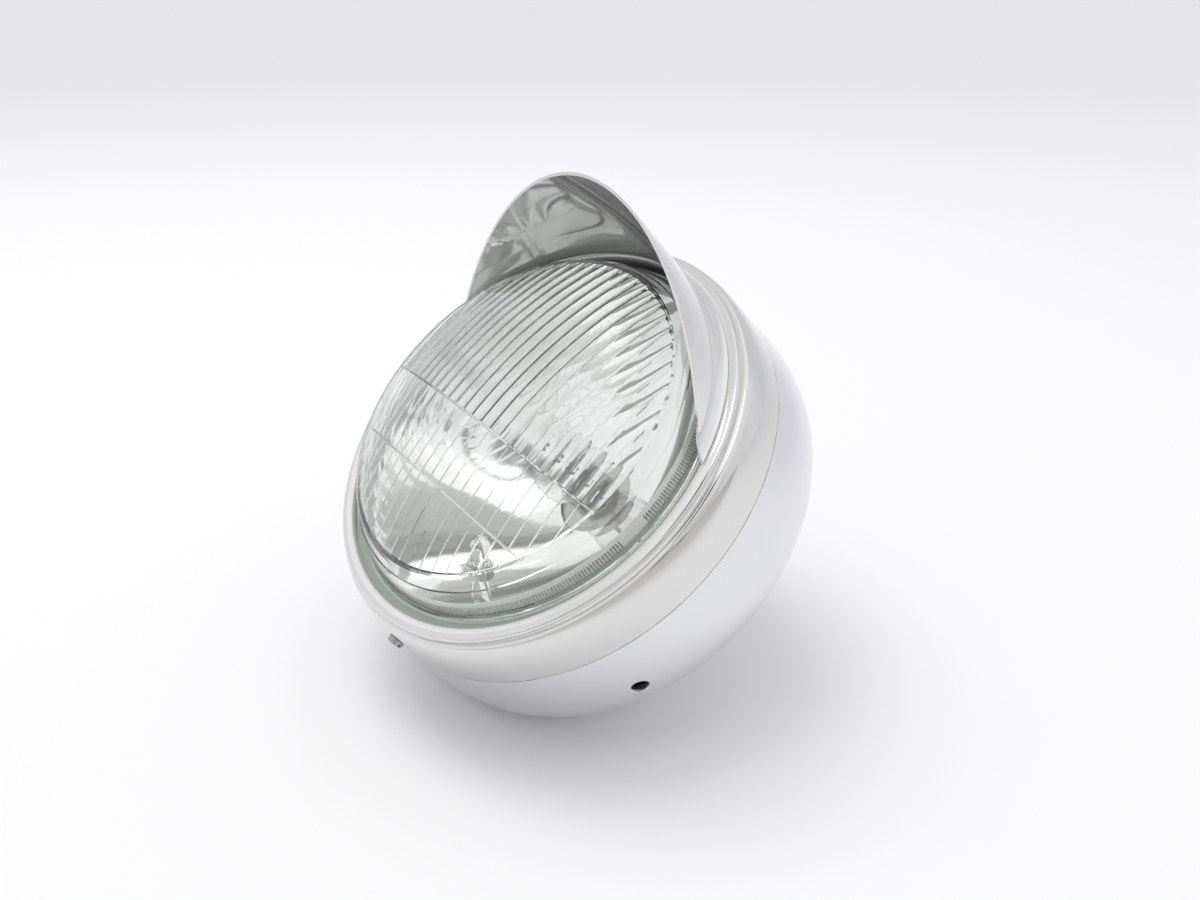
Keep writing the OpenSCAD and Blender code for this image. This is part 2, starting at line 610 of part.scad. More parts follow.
module holder_shell() color([0.72, 0.72, 0.74]) difference() {
    lathe(fn_small * 2) polygon([
        [holder_in_r, holder_y], [holder_r, holder_y], [holder_r, holder_back_y - 2],
        [holder_r - 2, holder_back_y], [collar_r - 5, holder_back_y],
        [collar_r - 5, holder_back_y - collar_t], [holder_in_r - 1.6, holder_back_y - collar_t],
        [holder_in_r, holder_back_y - collar_t - 1.6]]);
    // bayonet slots: each lets a pin in from the front and round under the skirt
    for (i = [0:2]) {
        lathe_part(90 + 120 * i + holder_turn / 2, holder_turn + 8)
            translate([holder_in_r - 1, pin_y - pin_r - 0.3]) square([3, 2 * pin_r + 0.6]);
        lathe_part(90 + 120 * i + holder_turn, 8)
            translate([holder_in_r - 1, holder_y - 1]) square([3, pin_y + pin_r - holder_y + 1]);
    }
}

module contact_disc() color([0.35, 0.2, 0.12]) difference() {
    lathe(fn_small * 2) translate([0, disc_y]) square([holder_in_r - 2.2, disc_t]);
    for (i = [0:2]) radial(90 + 120 * i, 0) translate([-blade_w / 2, disc_y - 1, blade_r])
        cube([blade_w, disc_t + 2, blade_t]);
    for (x = [-contact_x, contact_x]) translate([x, disc_y - 1, 0]) rotate([-90, 0, 0])
        cylinder(r = plunger_r, h = disc_t + 2, $fn = 24);
}

// flat terminals that stand out of the disc's back for the wiring
module contact_blades() color([0.82, 0.7, 0.42]) for (i = [0:2]) radial(90 + 120 * i, 0)
    translate([-blade_w / 2, disc_y, blade_r]) cube([blade_w, disc_t + blade_out, blade_t]);

// sprung plungers that press on the end of the bulb's cap
module contact_plungers() color([0.82, 0.7, 0.42]) for (x = [-contact_x, contact_x])
    translate([x, bulb_end_y + 0.15, 0]) rotate([-90, 0, 0])
        cylinder(r = plunger_r, h = disc_y + disc_t + 1 - bulb_end_y, $fn = 24);

// pilot lamp

module pilot_holder() color([0.7, 0.7, 0.72]) at_pilot() rotate_extrude($fn = fn_small) polygon([
    [pilot_cap_r + 0.1, -3], [pilot_holder_r - 0.05, -3], [pilot_holder_r - 0.05, refl_t + 0.3],
    [pilot_holder_r + 2, refl_t + 0.3], [pilot_holder_r + 2, refl_t + 1.3], [pilot_holder_r, refl_t + 1.3],
    [pilot_holder_r, pilot_holder_len - 1], [pilot_holder_r - 1, pilot_holder_len],
    [2, pilot_holder_len], [2, pilot_holder_len - 1], [pilot_cap_r + 0.1, pilot_holder_len - 1]]);

module pilot_cap() color([0.8, 0.66, 0.35]) at_pilot() rotate_extrude($fn = fn_small)
    polygon([[0, -3.5], [pilot_cap_r, -3.5], [pilot_cap_r, 6.5], [2.2, 8], [0, 8]]);

module pilot_glass() color([0.95, 0.95, 0.9, 0.4]) at_pilot() rotate_extrude($fn = fn_small)
    polygon(concat([[0, -3.55], [0, -12 - pilot_glass_r]],
        arc([0, -12], pilot_glass_r, -89, 20, 12), [[pilot_cap_r - 1.2, -3.55]]));

module pilot_contact() color([0.82, 0.7, 0.42]) at_pilot() translate([0, 0, 8.05])
    cylinder(r = 1.6, h = pilot_holder_len - 3, $fn = 24);

bucket();
mount_doublers();
cable_grommet();
rim();
rim_hook();
visor();
lens();
lens_seal();
reflector();
unit_clips();
bulb_collar();
bulb_flange();
bulb_cap();
bulb_glass();
bulb_stem();
bulb_filaments();
rim_screw();
clamp_plate();
holder_shell();
contact_disc();
contact_blades();
contact_plungers();
pilot_holder();
pilot_cap();
pilot_glass();
pilot_contact();
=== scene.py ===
import math

import bmesh
import bpy
from mathutils import Matrix, Vector


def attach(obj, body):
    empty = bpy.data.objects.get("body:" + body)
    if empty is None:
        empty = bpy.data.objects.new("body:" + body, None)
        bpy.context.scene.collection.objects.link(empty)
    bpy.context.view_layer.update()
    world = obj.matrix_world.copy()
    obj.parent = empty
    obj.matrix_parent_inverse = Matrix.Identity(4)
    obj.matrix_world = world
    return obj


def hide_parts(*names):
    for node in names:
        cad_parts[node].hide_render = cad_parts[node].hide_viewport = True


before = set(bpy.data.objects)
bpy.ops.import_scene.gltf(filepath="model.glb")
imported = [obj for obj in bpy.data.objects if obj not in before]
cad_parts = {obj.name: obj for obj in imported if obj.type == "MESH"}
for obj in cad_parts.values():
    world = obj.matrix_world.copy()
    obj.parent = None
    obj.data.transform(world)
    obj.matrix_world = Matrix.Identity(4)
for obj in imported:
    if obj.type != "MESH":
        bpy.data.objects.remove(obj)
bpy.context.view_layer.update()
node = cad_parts


# The bowl: a deep drawn steel shell, copper and nickel plated under a thin bright chrome.
# It was polished before plating, so it mirrors the room with soft waves, and its inside
# was never polished. Two discs are spot welded behind its bracket holes.
def wire(nt, a, b):
    nt.links.new(a, b)


def new_finish(name):
    """An empty finish: its nodes, its skin, the place on the piece, and the way out."""
    m = bpy.data.materials.new(name)
    m.use_nodes = True
    nt = m.node_tree
    nt.nodes.clear()
    out = nt.nodes.new("ShaderNodeOutputMaterial")
    skin = nt.nodes.new("ShaderNodeBsdfPrincipled")
    wire(nt, skin.outputs["BSDF"], out.inputs["Surface"])
    place = nt.nodes.new("ShaderNodeTexCoord")
    return m, nt, skin, place.outputs["Object"], out


def noise(nt, place, scale, detail=4, rough=0.55, stretch=None):
    if stretch is not None:
        grain = nt.nodes.new("ShaderNodeMapping")
        grain.inputs["Scale"].default_value = stretch
        wire(nt, place, grain.inputs["Vector"])
        place = grain.outputs["Vector"]
    n = nt.nodes.new("ShaderNodeTexNoise")
    n.inputs["Scale"].default_value = scale
    n.inputs["Detail"].default_value = detail
    n.inputs["Roughness"].default_value = rough
    wire(nt, place, n.inputs["Vector"])
    return n.outputs["Fac"]


def remap(nt, value, span, into, kind="LINEAR"):
    """The value's span laid on to another one."""
    n = nt.nodes.new("ShaderNodeMapRange")
    n.interpolation_type = kind
    n.inputs["From Min"].default_value, n.inputs["From Max"].default_value = span
    n.inputs["To Min"].default_value, n.inputs["To Max"].default_value = into
    wire(nt, value, n.inputs["Value"])
    return n.outputs["Result"]


def reckon(nt, how, a, b=0.0):
    n = nt.nodes.new("ShaderNodeMath")
    n.operation = how
    for i, v in enumerate((a, b)):
        if isinstance(v, (int, float)):
            n.inputs[i].default_value = v
        else:
            wire(nt, v, n.inputs[i])
    return n.outputs[0]


def plus(nt, a, b):
    return reckon(nt, "ADD", a, b)


def times(nt, a, b):
    return reckon(nt, "MULTIPLY", a, b)


def blend_colour(nt, fac, a, b):
    n = nt.nodes.new("ShaderNodeMix")
    n.data_type = "RGBA"
    wire(nt, fac, n.inputs["Factor"])
    first, second, result = 6, 7, 2  # the node's colour sockets
    for k, v in ((first, a), (second, b)):
        if isinstance(v, tuple):
            n.inputs[k].default_value = (*v, 1)
        else:
            wire(nt, v, n.inputs[k])
    return n.outputs[result]


def bump(nt, skin, height, distance, strength):
    n = nt.nodes.new("ShaderNodeBump")
    n.inputs["Distance"].default_value = distance
    n.inputs["Strength"].default_value = strength
    wire(nt, height, n.inputs["Height"])
    wire(nt, n.outputs["Normal"], skin.inputs["Normal"])


def shade_of(tint, share):
    return tuple(c * share for c in tint)


def faces_axis(nt, place):
    """1 where a surface faces the lamp's axis, 0 where it faces away."""
    geo = nt.nodes.new("ShaderNodeNewGeometry")
    flat = nt.nodes.new("ShaderNodeVectorMath")
    flat.operation = "MULTIPLY"
    flat.inputs[1].default_value = (1, 0, 1)
    wire(nt, place, flat.inputs[0])
    dot = nt.nodes.new("ShaderNodeVectorMath")
    dot.operation = "DOT_PRODUCT"
    wire(nt, flat.outputs[0], dot.inputs[0])
    wire(nt, geo.outputs["Normal"], dot.inputs[1])
    return reckon(nt, "LESS_THAN", dot.outputs["Value"], 0.0)


def chrome(name, tint, roughness, inside_tint=(0.55, 0.55, 0.56), inside_rough=0.5,
           inside_metal=0.3, dents=0.0):
    """Bright chrome outside, and a duller finish where the piece faces the lamp's axis."""
    m, nt, skin, place, out = new_finish(name)
    smear = noise(nt, place, 38, detail=5, rough=0.6)
    fine = noise(nt, place, 900, detail=2, rough=0.5)
    haze = remap(nt, smear, (0.38, 0.72), roughness)
    haze = plus(nt, haze, remap(nt, fine, (0.4, 0.8), (0.0, 0.012)))
    cloud = noise(nt, place, 14, detail=3)
    tone = blend_colour(nt, cloud, tint, shade_of(tint, 0.97))
    inside = faces_axis(nt, place)
    dull = remap(nt, smear, (0.3, 0.7), (inside_rough * 0.7, inside_rough * 1.3))
    both = nt.nodes.new("ShaderNodeMix")
    first, second, result = 2, 3, 0  # the node's plain sockets
    wire(nt, inside, both.inputs["Factor"])
    wire(nt, haze, both.inputs[first])
    wire(nt, dull, both.inputs[second])
    wire(nt, both.outputs[result], skin.inputs["Roughness"])
    wire(nt, blend_colour(nt, inside, tone, inside_tint), skin.inputs["Base Color"])
    bare = times(nt, inside, 1.0 - inside_metal)
    wire(nt, reckon(nt, "SUBTRACT", 1.0, bare), skin.inputs["Metallic"])
    wave = plus(nt, noise(nt, place, 26, detail=2), times(nt, fine, 0.02))
    if dents:
        deep = times(nt, inside, noise(nt, place, 28, detail=1))
        wave = plus(nt, wave, times(nt, deep, dents))
    bump(nt, skin, wave, distance=0.00004, strength=0.6)
    return m


def steel(name, tint, rough, grain=(1, 14, 1)):
    m, nt, skin, place, out = new_finish(name)
    skin.inputs["Metallic"].default_value = 1.0
    brush = noise(nt, place, 160, detail=6, rough=0.6, stretch=grain)
    spots = remap(nt, noise(nt, place, 70), (0.4, 0.65), (0, 1))
    wire(nt, remap(nt, brush, (0.3, 0.7), (rough - 0.08, rough + 0.1)), skin.inputs["Roughness"])
    wire(nt, blend_colour(nt, spots, tint, shade_of(tint, 0.8)), skin.inputs["Base Color"])
    bump(nt, skin, brush, distance=0.00003, strength=0.5)
    return m


def paint(finish, *names):
    for name in names:
        slots = node[name].data.materials
        slots.clear()
        slots.append(finish)


def from_axis(p):
    """The way out from the lamp's axis, which is the line along Y."""
    return Vector((p.x, 0, p.z)).normalized()


def spun(name, body, finish):
    """A merged copy of a piece turned about the lamp's axis. Its corners get the normals of the
    true round surface, so that it mirrors its surroundings without facets."""
    weld = 1e-7  # m
    skew = 0.03  # a turned face's normal leans no further than this out of its radius
    turned = 0.9995  # so a turned face's slope is at least this long
    smooth = 0.86  # the cosine of the turn past which an edge stays sharp
    paint(finish, name)
    bm = bmesh.new()
    bm.from_mesh(node[name].data)
    bmesh.ops.remove_doubles(bm, verts=bm.verts, dist=weld)
    bmesh.ops.dissolve_degenerate(bm, edges=bm.edges, dist=weld)
    bm.normal_update()
    slopes_at = {}
    for v in bm.verts:
        slopes = []
        for corner in v.link_loops:
            n = corner.face.normal
            out = from_axis(corner.face.calc_center_median())
            if abs(n.x * out.z - n.z * out.x) < skew:
                slopes.append((Vector((n.dot(out), n.y)), corner.calc_angle()))
        slopes_at[v.index] = slopes
    normals = []
    for f in bm.faces:
        f.smooth = True
        own = Vector((f.normal.dot(from_axis(f.calc_center_median())), f.normal.y))
        for corner in f.loops:
            n = f.normal.copy()
            if own.length > turned:
                total = Vector((0, 0))
                for slope, angle in slopes_at[corner.vert.index]:
                    if slope.dot(own) > smooth:
                        total += slope * angle
                total.normalize()
                n = from_axis(corner.vert.co) * total.x + Vector((0, total.y, 0))
            normals.append(n.normalized())
    mesh = bpy.data.meshes.new(name + "_spun")
    bm.to_mesh(mesh)
    bm.free()
    mesh.normals_split_custom_set(normals)
    mesh.materials.append(finish)
    o = bpy.data.objects.new(name + "_spun", mesh)
    bpy.context.collection.objects.link(o)
    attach(o, body)
    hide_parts(name)


shell_chrome = chrome("shell_chrome", (0.8, 0.805, 0.825), (0.02, 0.07))
zinc_plate = steel("zinc_plate", (0.66, 0.66, 0.63), rough=0.3)
spun("bucket", "bowl", shell_chrome)
paint(zinc_plate, "mount_doublers")


# The cable grommet: black rubber, moulded with a groove round it and pushed into the hole
# in the bowl's back, where it keeps the loom off the steel's edge.
def black_rubber(name, tint, dust_tint):
    m, nt, skin, place, out = new_finish(name)
    dust = noise(nt, place, 60, detail=5)
    grey = blend_colour(nt, remap(nt, dust, (0.45, 0.75), (0, 0.5)), tint, dust_tint)
    wire(nt, grey, skin.inputs["Base Color"])
    wire(nt, remap(nt, dust, (0.3, 0.7), (0.5, 0.8)), skin.inputs["Roughness"])
    bump(nt, skin, noise(nt, place, 1400, detail=2), distance=0.00004, strength=0.4)
    return m


paint(black_rubber("grommet_rubber", (0.02, 0.02, 0.02), (0.16, 0.155, 0.15)), "cable_grommet")

# The rim: a rolled and pressed steel ring with a flattened bead at its front, chromed like the
# bowl. Its hook hangs on the bowl's lip at the top, and one screw holds it at the bottom, which
# draws a clamp plate up behind the lip.
rim_chrome = chrome("rim_chrome", (0.745, 0.75, 0.735), (0.015, 0.06),
                    inside_tint=(0.8, 0.8, 0.78), inside_rough=0.35, inside_metal=0.6)
spun("rim", "rim_unit", rim_chrome)
paint(zinc_plate, "rim_hook")
paint(steel("screw_nickel", (0.5, 0.5, 0.5), rough=0.25), "rim_screw")
paint(zinc_plate, "clamp_plate")

# The visor: a peak of thin chromed sheet, whose foot flares out on to the bead and is soldered
# there. Its underside is darker than its top and shows the marks of forming.
visor_chrome = chrome("visor_chrome", (0.8, 0.805, 0.8), (0.02, 0.08),
                      inside_tint=(0.74, 0.75, 0.74), inside_rough=0.05, inside_metal=0.68,
                      dents=7.0)
spun("visor", "rim_unit", visor_chrome)


# The lens: pressed soda glass, slightly green, with flutes moulded on its inside. Two raised
# lines cross it, and thin ridges part the flat flutes below the upper one; besides their shape,
# both carry a painted highlight, glass made whiter and less clear. The rim's bead and the clips
# behind the reflector hold it.
def glass(name, tint, clear=1.0, painted_highlights=None):
    m, nt, skin, place, out = new_finish(name)
    skin.inputs["Transmission Weight"].default_value = clear
    # painted highlight: where the lines lie, the glass lets less light through and shows whiter
    if painted_highlights:
        highlight_white = times(nt, painted_highlights(nt, place), line_highlight)
        wire(nt, reckon(nt, "SUBTRACT", clear, highlight_white), skin.inputs["Transmission Weight"])
    skin.inputs["IOR"].default_value = 1.5
    skin.inputs["Base Color"].default_value = (*tint, 1)
    dust = noise(nt, place, 120, detail=6, rough=0.65)
    wire(nt, remap(nt, dust, (0.5, 0.8), (0.0, 0.06)), skin.inputs["Roughness"])
    bump(nt, skin, noise(nt, place, 45, detail=2), distance=0.00006, strength=0.5)
    # light passes the glass on its way to what lies behind it
    ray = nt.nodes.new("ShaderNodeLightPath")
    through = nt.nodes.new("ShaderNodeBsdfTransparent")
    through.inputs["Color"].default_value = (*tint, 1)
    mix = nt.nodes.new("ShaderNodeMixShader")
    wire(nt, ray.outputs["Is Shadow Ray"], mix.inputs["Fac"])
    wire(nt, skin.outputs["BSDF"], mix.inputs[1])
    wire(nt, through.outputs["BSDF"], mix.inputs[2])
    wire(nt, mix.outputs["Shader"], out.inputs["Surface"])
    return m


line_highlight = 0.6  # the painted highlight: the share of a line's light given back white instead of let through
upper_line, lower_line = -0.012, -0.04  # their heights, in m
line_half = 0.00042
flute_pitch = 0.0059
ridge_half = 0.00032
ridge_highlight_share = 0.6  # how strongly a ridge's painted highlight shows, beside a line's
dome_radius = 0.0705
dome_foot = -0.056  # the dome lies in front of this
highlight_fade = (-0.05, 0.005)  # seen from the front, the painted highlights grow fainter towards the left


def near(nt, value, at, half):
    off = reckon(nt, "ABSOLUTE", reckon(nt, "SUBTRACT", value, at))
    return reckon(nt, "LESS_THAN", off, half)


def painted_line_highlights(nt, place):
    """The painted highlight: 1 on the two raised lines and less on the ridges, where the glass is
    made whiter as if they caught the light.
    """
    axis = nt.nodes.new("ShaderNodeSeparateXYZ")
    wire(nt, place, axis.inputs[0])
    x, y, z = axis.outputs
    lines = reckon(nt, "MAXIMUM", near(nt, z, upper_line, line_half),
                   near(nt, z, lower_line, line_half))
    # flutes are counted from well outside the lens, so that no count is negative
    count = plus(nt, reckon(nt, "DIVIDE", x, flute_pitch), 100.5)
    ridges = times(nt, near(nt, reckon(nt, "FRACT", count), 0.5, ridge_half / flute_pitch),
                   reckon(nt, "LESS_THAN", z, upper_line))
    reach = plus(nt, times(nt, x, x), times(nt, z, z))
    dome = times(nt, reckon(nt, "LESS_THAN", reach, dome_radius ** 2),
                 reckon(nt, "LESS_THAN", y, dome_foot))
    geo = nt.nodes.new("ShaderNodeNewGeometry")
    way = nt.nodes.new("ShaderNodeSeparateXYZ")
    wire(nt, geo.outputs["Normal"], way.inputs[0])
    inner = reckon(nt, "GREATER_THAN", way.outputs["Y"], 0.0)
    painted_highlights = reckon(nt, "MAXIMUM", lines, times(nt, ridges, ridge_highlight_share))
    painted_highlights = times(nt, painted_highlights, remap(nt, x, highlight_fade, (0.25, 1.0)))
    return times(nt, times(nt, painted_highlights, dome), inner)


paint(glass("lens_glass", (0.983, 0.999, 0.982), clear=0.975, painted_highlights=painted_line_highlights), "lens")


# The seal and the ring of fine teeth: the glass stands on a pale rubber seal, whose lip lies
# against the inside of the wall's foot. Some 395 fine teeth are pressed there and show through
# the wall all round, but for one plain stretch.
def pale_rubber(name):
    m, nt, skin, place, out = new_finish(name)
    dust = noise(nt, place, 80, detail=5)
    pale = blend_colour(nt, dust, (0.85, 0.88, 0.845), (0.9, 0.92, 0.895))
    wire(nt, pale, skin.inputs["Base Color"])
    wire(nt, remap(nt, dust, (0.3, 0.7), (0.35, 0.6)), skin.inputs["Roughness"])
    return m


seal_rubber = pale_rubber("seal_rubber")
paint(seal_rubber, "lens_seal")


def lathe(name, profile, finish, steps=240):
    """A closed ring about the lamp's axis. The profile runs in (radius, y), in mm."""
    verts, faces, count = [], [], len(profile)
    for i in range(steps):
        a = 2 * math.pi * i / steps
        verts += [(r * math.cos(a) / 1000, y / 1000, r * math.sin(a) / 1000)
                  for r, y in profile]
        this, other = i * count, (i + 1) % steps * count
        for k in range(count):
            far = (k + 1) % count
            faces.append((this + k, this + far, other + far, other + k))
    mesh = bpy.data.meshes.new(name)
    mesh.from_pydata(verts, [], faces)
    mesh.materials.append(finish)
    bm = bmesh.new()
    bm.from_mesh(mesh)
    bmesh.ops.recalc_face_normals(bm, faces=bm.faces)
    bm.to_mesh(mesh)
    bm.free()
    o = bpy.data.objects.new(name, mesh)
    bpy.context.collection.objects.link(o)
    return o


lip_outside = [(79.1, -43.6), (78.8, -46.3), (77.7, -48.2), (76.6, -50.1)]
lip_inside = [(76.2, -49.9), (77.3, -48.0), (78.4, -46.1), (78.7, -43.6)]
seal_lip = lathe("seal_lip", lip_outside + lip_inside, seal_rubber)
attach(seal_lip, "rim_unit")


def new_tree(name, sizes):
    tree = bpy.data.node_groups.new(name, "GeometryNodeTree")
    tree.interface.new_socket("Geometry", in_out="OUTPUT", socket_type="NodeSocketGeometry")
    for label, kind in sizes:
        tree.interface.new_socket(label, in_out="INPUT", socket_type="NodeSocket" + kind)
    return tree, tree.nodes.new("NodeGroupInput").outputs, tree.nodes.new("NodeGroupOutput")


def make(tree, kind, links=(), **values):
    """A node, with its links by socket, and its values and settings by name."""
    n = tree.nodes.new(kind)
    for k, v in values.items():
        if k in n.inputs:
            n.inputs[k].default_value = v
        else:
            setattr(n, k, v)
    for k, v in links:
        tree.links.new(v, n.inputs[k])
    return n


def close_tree(tree, end, shape, finish):
    real = make(tree, "GeometryNodeRealizeInstances", [("Geometry", shape)])
    coat = make(tree, "GeometryNodeSetMaterial", [("Geometry", real.outputs[0])], Material=finish)
    tree.links.new(coat.outputs[0], end.inputs[0])


def grow(name, tree, values, finish):
    """The tree's result as a plain piece."""
    seed = bpy.data.objects.new(name + "_seed", bpy.data.meshes.new(name + "_seed"))
    bpy.context.collection.objects.link(seed)
    mod = seed.modifiers.new("grow", "NODES")
    mod.node_group = tree
    for item in tree.interface.items_tree:
        if item.in_out == "INPUT" and item.name in values:
            mod[item.identifier] = values[item.name]
    bpy.context.view_layer.update()
    graph = bpy.context.evaluated_depsgraph_get()
    mesh = bpy.data.meshes.new_from_object(seed.evaluated_get(graph))
    bpy.data.objects.remove(seed)
    mesh.name = name
    if not mesh.materials:
        mesh.materials.append(finish)
    o = bpy.data.objects.new(name, mesh)
    bpy.context.collection.objects.link(o)
    return o


def bright_tooth(name, tint):
    m, nt, skin, place, out = new_finish(name)
    skin.inputs["Metallic"].default_value = 1.0
    skin.inputs["Base Color"].default_value = (*tint, 1)
    fine = noise(nt, place, 300, detail=3)
    wire(nt, remap(nt, fine, (0.3, 0.7), (0.12, 0.3)), skin.inputs["Roughness"])
    return m


tooth_silver = bright_tooth("tooth_silver", (0.62, 0.65, 0.62))
tooth_sides = 8
wall_lean = math.radians(-30)
tree, sizes, end = new_tree("fine_teeth", [("Teeth", "Int"), ("Radius", "Float"),
                                           ("Length", "Float"), ("Half width", "Float"),
                                           ("Front", "Float"), ("Gap at", "Float"),
                                           ("Gap", "Float")])
ring = make(tree, "GeometryNodeMeshCircle", [("Vertices", sizes["Teeth"]),
                                             ("Radius", sizes["Radius"])])
# the plain stretch: points whose turn about the axis is near Gap at are taken out
where = make(tree, "GeometryNodeInputPosition")
part = make(tree, "ShaderNodeSeparateXYZ", [("Vector", where.outputs[0])])
turn = make(tree, "ShaderNodeMath", [(0, part.outputs["Y"]), (1, part.outputs["X"])],
            operation="ARCTAN2")
off = make(tree, "ShaderNodeMath", [(0, turn.outputs[0]), (1, sizes["Gap at"])],
           operation="SUBTRACT")
size = make(tree, "ShaderNodeMath", [(0, off.outputs[0])], operation="ABSOLUTE")
plain = make(tree, "ShaderNodeMath", [(0, size.outputs[0]), (1, sizes["Gap"])],
             operation="LESS_THAN")
kept = make(tree, "GeometryNodeDeleteGeometry",
            [("Geometry", ring.outputs[0]), ("Selection", plain.outputs[0])], domain="POINT")
# each tooth leans with the wall
tooth = make(tree, "GeometryNodeMeshCylinder",
             [("Radius", sizes["Half width"]), ("Depth", sizes["Length"])], Vertices=tooth_sides)
spin = make(tree, "ShaderNodeCombineXYZ", [("Z", turn.outputs[0])], Y=wall_lean)
spots = make(tree, "GeometryNodeMeshToPoints", [("Mesh", kept.outputs[0])])
set_out = make(tree, "GeometryNodeInstanceOnPoints",
               [("Points", spots.outputs[0]), ("Instance", tooth.outputs["Mesh"]),
                ("Rotation", spin.outputs[0])])
# stand the ring up: its X stays, its Y becomes the lamp's Z
shift = make(tree, "ShaderNodeCombineXYZ", [("Y", sizes["Front"])])
upright = make(tree, "GeometryNodeTransform",
               [("Geometry", set_out.outputs[0]), ("Translation", shift.outputs[0])],
               Rotation=(math.pi / 2, 0, 0))
close_tree(tree, end, upright.outputs[0], tooth_silver)
lens_teeth = grow("lens_teeth", tree,
                  {"Teeth": 395, "Radius": 0.07825, "Length": 0.0032, "Half width": 0.00031,
                   "Front": -0.0473, "Gap at": math.radians(-5.8), "Gap": math.radians(4.2)},
                  tooth_silver)
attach(lens_teeth, "rim_unit")


# The reflector: spun steel, lacquered, then aluminised in a vacuum. It is brighter than the
# chrome and a little hazy. Spring clips press it and the glass against the bead, and the
# holders on its back are of plated steel.
def aluminised(name):
    m, nt, skin, place, out = new_finish(name)
    skin.inputs["Metallic"].default_value = 1.0
    cloud = noise(nt, place, 22, detail=5)
    wire(nt, remap(nt, cloud, (0.35, 0.7), (0.03, 0.1)), skin.inputs["Roughness"])
    bright = blend_colour(nt, cloud, (0.99, 0.99, 0.985), (0.97, 0.97, 0.965))
    wire(nt, bright, skin.inputs["Base Color"])
    bump(nt, skin, noise(nt, place, 18, detail=2), distance=0.0001, strength=0.5)
    return m


spun("reflector", "rim_unit", aluminised("mirror_coat"))
paint(steel("clip_steel", (0.45, 0.46, 0.48), rough=0.3), "unit_clips")
paint(zinc_plate, "bulb_collar", "holder_shell", "pilot_holder")

# The bulbs: clear globes on nickelled caps. The main one has a locating flange and two coils on
# a glass stem. Brass blades and plungers bring the current to them.
paint(steel("cap_brass", (0.78, 0.6, 0.3), rough=0.28),
      "contact_blades", "contact_plungers", "pilot_contact")
paint(steel("cap_nickel", (0.6, 0.6, 0.58), rough=0.22), "bulb_cap", "bulb_flange", "pilot_cap")
paint(glass("bulb_clear", (0.98, 0.98, 0.98)), "bulb_glass", "bulb_stem", "pilot_glass")
paint(steel("tungsten", (0.35, 0.35, 0.36), rough=0.4), "bulb_filaments")


# The insulating disc: brown moulded plastic, filled with fine powder, with the blades and
# plungers pressed into it. The holder's shell is closed round its edge.
def moulded(name, tint):
    m, nt, skin, place, out = new_finish(name)
    grainy = blend_colour(nt, noise(nt, place, 90, detail=6), tint, shade_of(tint, 1.6))
    wire(nt, grainy, skin.inputs["Base Color"])
    sheen = remap(nt, noise(nt, place, 300, detail=3), (0.3, 0.7), (0.4, 0.6))
    wire(nt, sheen, skin.inputs["Roughness"])
    bump(nt, skin, noise(nt, place, 800, detail=3), distance=0.00003, strength=0.5)
    return m


paint(moulded("brown_plastic", (0.1, 0.05, 0.03)), "contact_disc")

# The sheet: the lamp lies on its back on a wide pale sheet of paper, which turns bluer far
# away. Towards the camera, below the picture, it is darkened with painted shade that the
# chrome mirrors. It shows from its front alone, so that it hides nothing from views below it.
up = Vector((-0.07, -0.77, 0.64)).normalized()
look = Vector((-0.701, 0.705, 0.110)).normalized()
away = (look - up * look.dot(up)).normalized()
right_hand = away.cross(up).normalized()
lowest = min(v.co.dot(up) for v in node["bucket"].data.vertices)
sheet_half = 30.0


def along(nt, place, way):
    n = nt.nodes.new("ShaderNodeVectorMath")
    n.operation = "DOT_PRODUCT"
    n.inputs[1].default_value = way
    wire(nt, place, n.inputs[0])
    return n.outputs["Value"]


def soft_step(nt, value, start, end):
    """0 at start, 1 at end, smooth between them."""
    return remap(nt, value, (start, end), (0.0, 1.0), "SMOOTHSTEP")


floor_paper, nt, skin, place, out = new_finish("floor_paper")
skin.inputs["Roughness"].default_value = 0.9
skin.inputs["Specular IOR Level"].default_value = 0.1
# the colour changes with the distance from the lamp's middle, in m
far = soft_step(nt, along(nt, place, away), 0.3, 1.0)
sheet = blend_colour(nt, far, (0.845, 0.845, 0.845), (0.855, 0.85, 0.87))
# painted shade: the sheet turns darker grey from 0.16 m towards the camera, for the chrome to
# mirror
painted_near_shade = soft_step(nt, along(nt, place, -away), 0.16, 0.28)
sheet = blend_colour(nt, painted_near_shade, sheet, (0.6, 0.59, 0.58))
wire(nt, sheet, skin.inputs["Base Color"])
geo = nt.nodes.new("ShaderNodeNewGeometry")
unseen = nt.nodes.new("ShaderNodeBsdfTransparent")
mix = nt.nodes.new("ShaderNodeMixShader")
wire(nt, geo.outputs["Backfacing"], mix.inputs["Fac"])
wire(nt, skin.outputs["BSDF"], mix.inputs[1])
wire(nt, unseen.outputs["BSDF"], mix.inputs[2])
wire(nt, mix.outputs["Shader"], out.inputs["Surface"])
across, back = right_hand * sheet_half, up.cross(right_hand) * sheet_half
mesh = bpy.data.meshes.new("floor")
mesh.from_pydata([up * lowest + across * a + back * b
                  for a, b in ((-1, -1), (1, -1), (1, 1), (-1, 1))], [], [(0, 1, 2, 3)])
mesh.materials.append(floor_paper)
floor = bpy.data.objects.new("floor", mesh)
bpy.context.collection.objects.link(floor)

# The room: bright, but greyer low down on the right and behind the camera, with a few dim
# places behind the camera and a bright one overhead. Metal and glass mirror it. The camera
# itself sees a plain pale backdrop past the sheet's edge.
world = bpy.data.worlds.new("studio")
bpy.context.scene.world = world
world.use_nodes = True
nt = world.node_tree
backdrop = nt.nodes["Background"]
backdrop.inputs["Strength"].default_value = 0.97
aim = nt.nodes.new("ShaderNodeTexCoord").outputs["Generated"]


def band(nt, value, low, high, soft):
    """1 between low and high, with soft ends."""
    return times(nt, soft_step(nt, value, low - soft, low + soft),
                 soft_step(nt, value, high + soft, high - soft))


